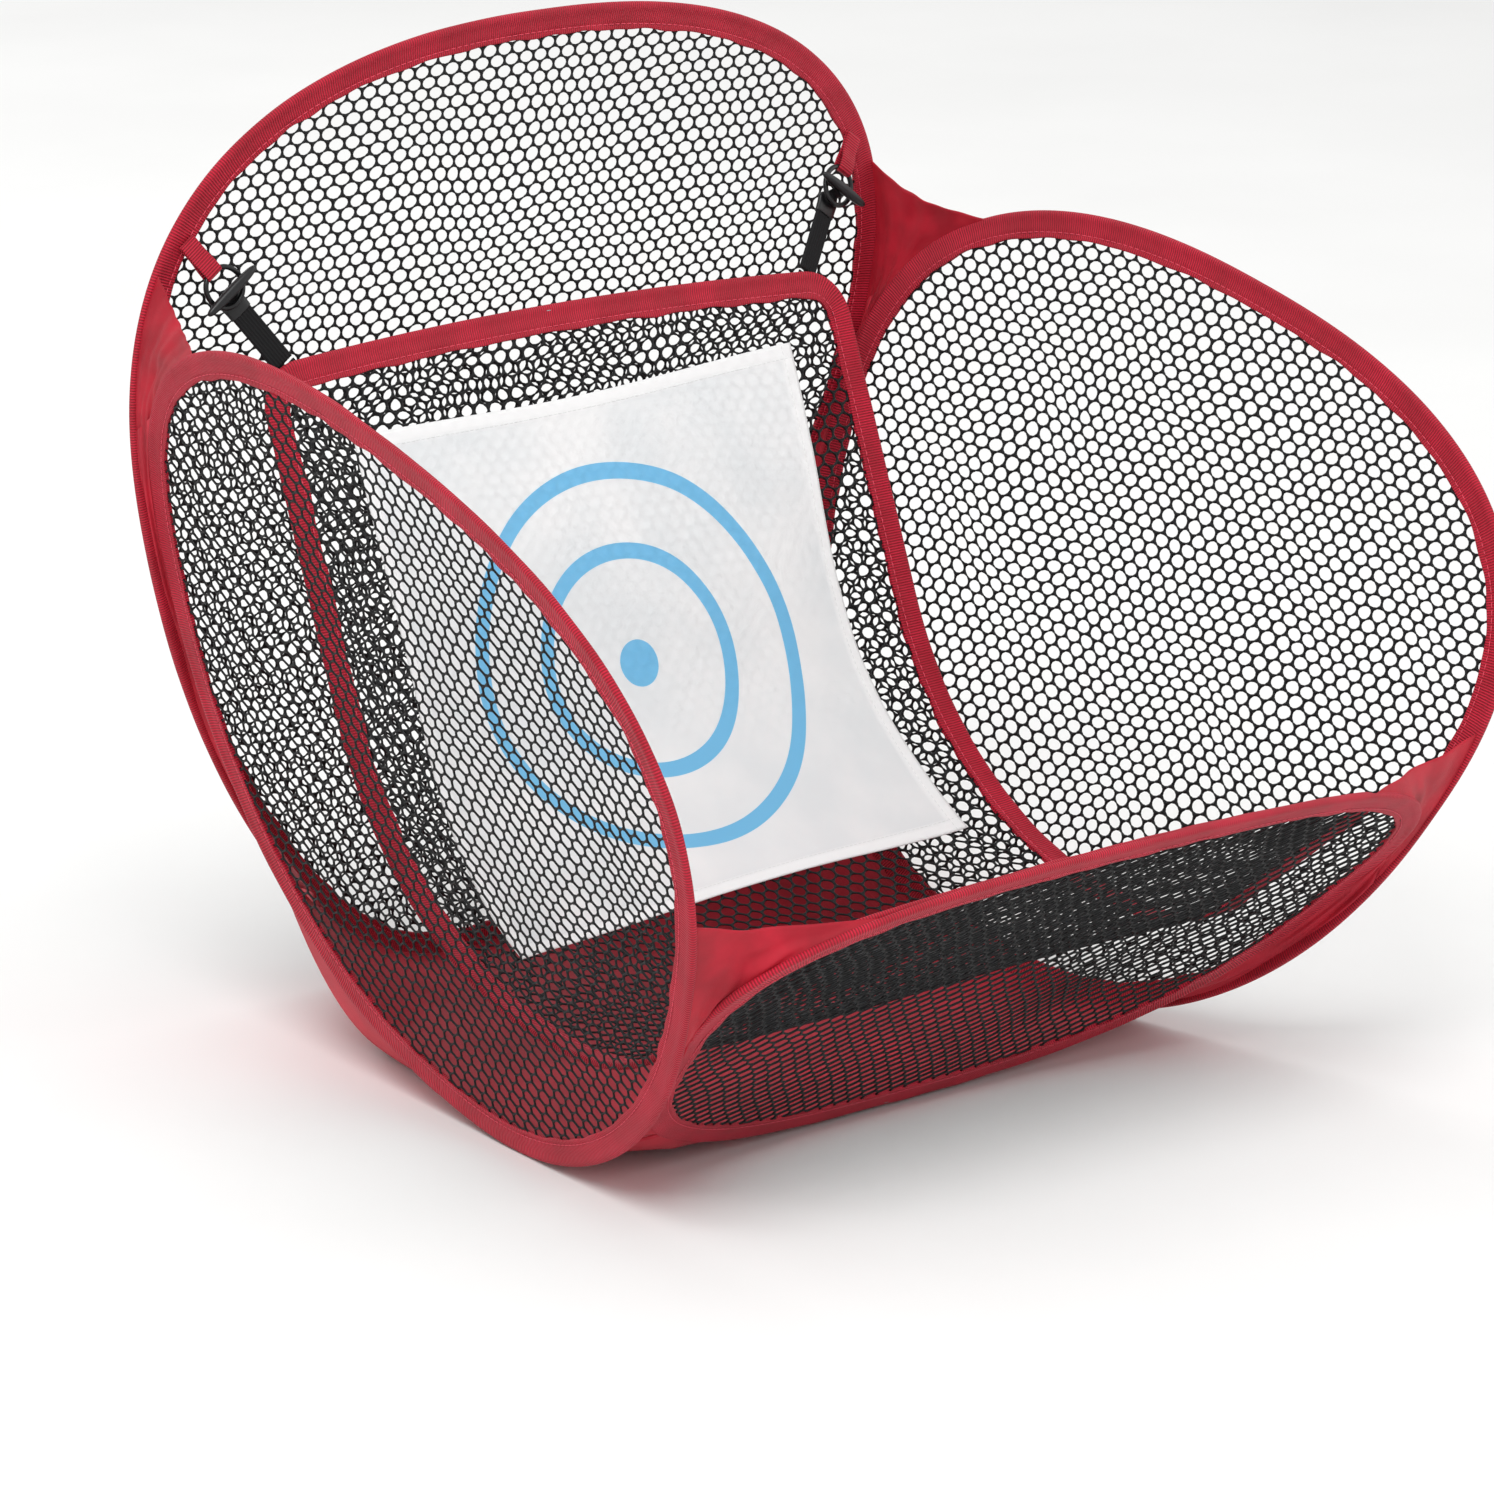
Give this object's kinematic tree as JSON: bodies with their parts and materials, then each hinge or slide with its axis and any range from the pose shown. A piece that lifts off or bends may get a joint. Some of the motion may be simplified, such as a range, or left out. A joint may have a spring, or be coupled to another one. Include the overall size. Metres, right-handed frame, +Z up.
{
  "type": "golf chipping net",
  "caption": "Pop-up golf chipping net: oval spring-wire petals round a cloth floor, with a curved net target panel hung from elastic straps.",
  "frame": {"origin": "centre of the bounding box on the ground, under the cloth floor", "axes": "+Z up, +Y from the golfer towards the tall back petal, +X to the golfer's right"},
  "size_m": [0.4782, 0.4264, 0.4222],
  "materials": {
    "spring_steel": "drawn spring wire",
    "crimped_steel": "crimped tube",
    "red_binding": "ribbed polyester binding tape",
    "charcoal_mesh": "hexagonal knitted netting",
    "red_floor": "plain woven polyester",
    "red_mesh": "thin sheer polyester",
    "white_target": "thin sheer polyester with printed rings",
    "black_elastic": "ribbed woven elastic",
    "black_ring": "moulded satin",
    "black_plastic": "moulded satin"
  },
  "bodies": {
    "basket": {"back_wire": "spring_steel", "back_wire_ferrule": "crimped_steel", "back_binding": "red_binding", "back_net": "charcoal_mesh", "left_wire": "spring_steel", "left_wire_ferrule": "crimped_steel", "left_binding": "red_binding", "left_net": "charcoal_mesh", "right_wire": "spring_steel", "right_wire_ferrule": "crimped_steel", "right_binding": "red_binding", "right_net": "charcoal_mesh", "floor_cloth": "red_floor", "gusset_back_left": "red_mesh", "gusset_front_left": "red_mesh", "floor_corner_back_left": "red_floor", "floor_corner_front_left": "red_floor", "gusset_back_right": "red_mesh", "gusset_front_right": "red_mesh", "floor_corner_back_right": "red_floor", "floor_corner_front_right": "red_floor"},
    "front_petal": {"front_wire": "spring_steel", "front_wire_ferrule": "crimped_steel", "front_binding": "red_binding", "front_net": "charcoal_mesh"},
    "target": {"target_wire": "spring_steel", "target_wire_ferrule": "crimped_steel", "target_binding": "red_binding", "target_net": "charcoal_mesh", "target_cloth": "white_target", "strap_tail_left": "black_elastic", "strap_tail_right": "black_elastic"},
    "tab_left": {"tab_left": "red_binding"},
    "ring_left": {"o_ring_left": "black_ring"},
    "toggle_left": {"toggle_left": "black_plastic", "strap_left": "black_elastic"},
    "tab_right": {"tab_right": "red_binding"},
    "ring_right": {"o_ring_right": "black_ring"},
    "toggle_right": {"toggle_right": "black_plastic", "strap_right": "black_elastic"}
  },
  "joints": [
    {"name": "front_petal_tilt", "type": "hinge", "parent": "basket", "child": "front_petal", "pos_m": [0, -0.06177, 0.00215], "axis": [1, 0, 0], "range_deg": [-3, 2.5], "stiffness_Nm_per_rad": 20, "deforming": ["gusset_front_left", "gusset_front_right", "floor_corner_front_left", "floor_corner_front_right"]},
    {"name": "target_hinge", "type": "hinge", "parent": "front_petal", "child": "target", "pos_m": [0, -0.19691, 0.13933], "axis": [1, 0, 0], "range_deg": [-1.24, 1.48]},
    {"name": "tab_swing_left", "type": "hinge", "parent": "basket", "child": "tab_left", "pos_m": [-0.17902, 0.16606, 0.34315], "axis": [1, 0, 0], "range_deg": [-8.05, 9.65]},
    {"name": "ring_turn_left", "type": "hinge", "parent": "tab_left", "child": "ring_left", "pos_m": [-0.1669, 0.16058, 0.32639], "axis": [-0.1499, -0.9667, 0.2074], "continuous": true},
    {"name": "toggle_swing_left", "type": "hinge", "parent": "tab_left", "child": "toggle_left", "pos_m": [-0.16577, 0.16007, 0.32482], "axis": [1, 0, 0], "range_deg": [-3.98, 4.77]},
    {"name": "tab_swing_right", "type": "hinge", "parent": "basket", "child": "tab_right", "pos_m": [0.17902, 0.16606, 0.34315], "axis": [1, 0, 0], "range_deg": [-8.05, 9.65]},
    {"name": "ring_turn_right", "type": "hinge", "parent": "tab_right", "child": "ring_right", "pos_m": [0.1669, 0.16058, 0.32639], "axis": [0.1499, -0.9667, 0.2074], "continuous": true},
    {"name": "toggle_swing_right", "type": "hinge", "parent": "tab_right", "child": "toggle_right", "pos_m": [0.16577, 0.16007, 0.32482], "axis": [1, 0, 0], "range_deg": [-3.98, 4.77]}
  ],
  "couplings": [
    {"joint": "target_hinge", "follows": "front_petal_tilt", "ratio": -0.4754},
    {"joint": "tab_swing_left", "follows": "front_petal_tilt", "ratio": -3.2},
    {"joint": "toggle_swing_left", "follows": "front_petal_tilt", "ratio": -1.5728},
    {"joint": "tab_swing_right", "follows": "front_petal_tilt", "ratio": -3.2},
    {"joint": "toggle_swing_right", "follows": "front_petal_tilt", "ratio": -1.5728}
  ]
}
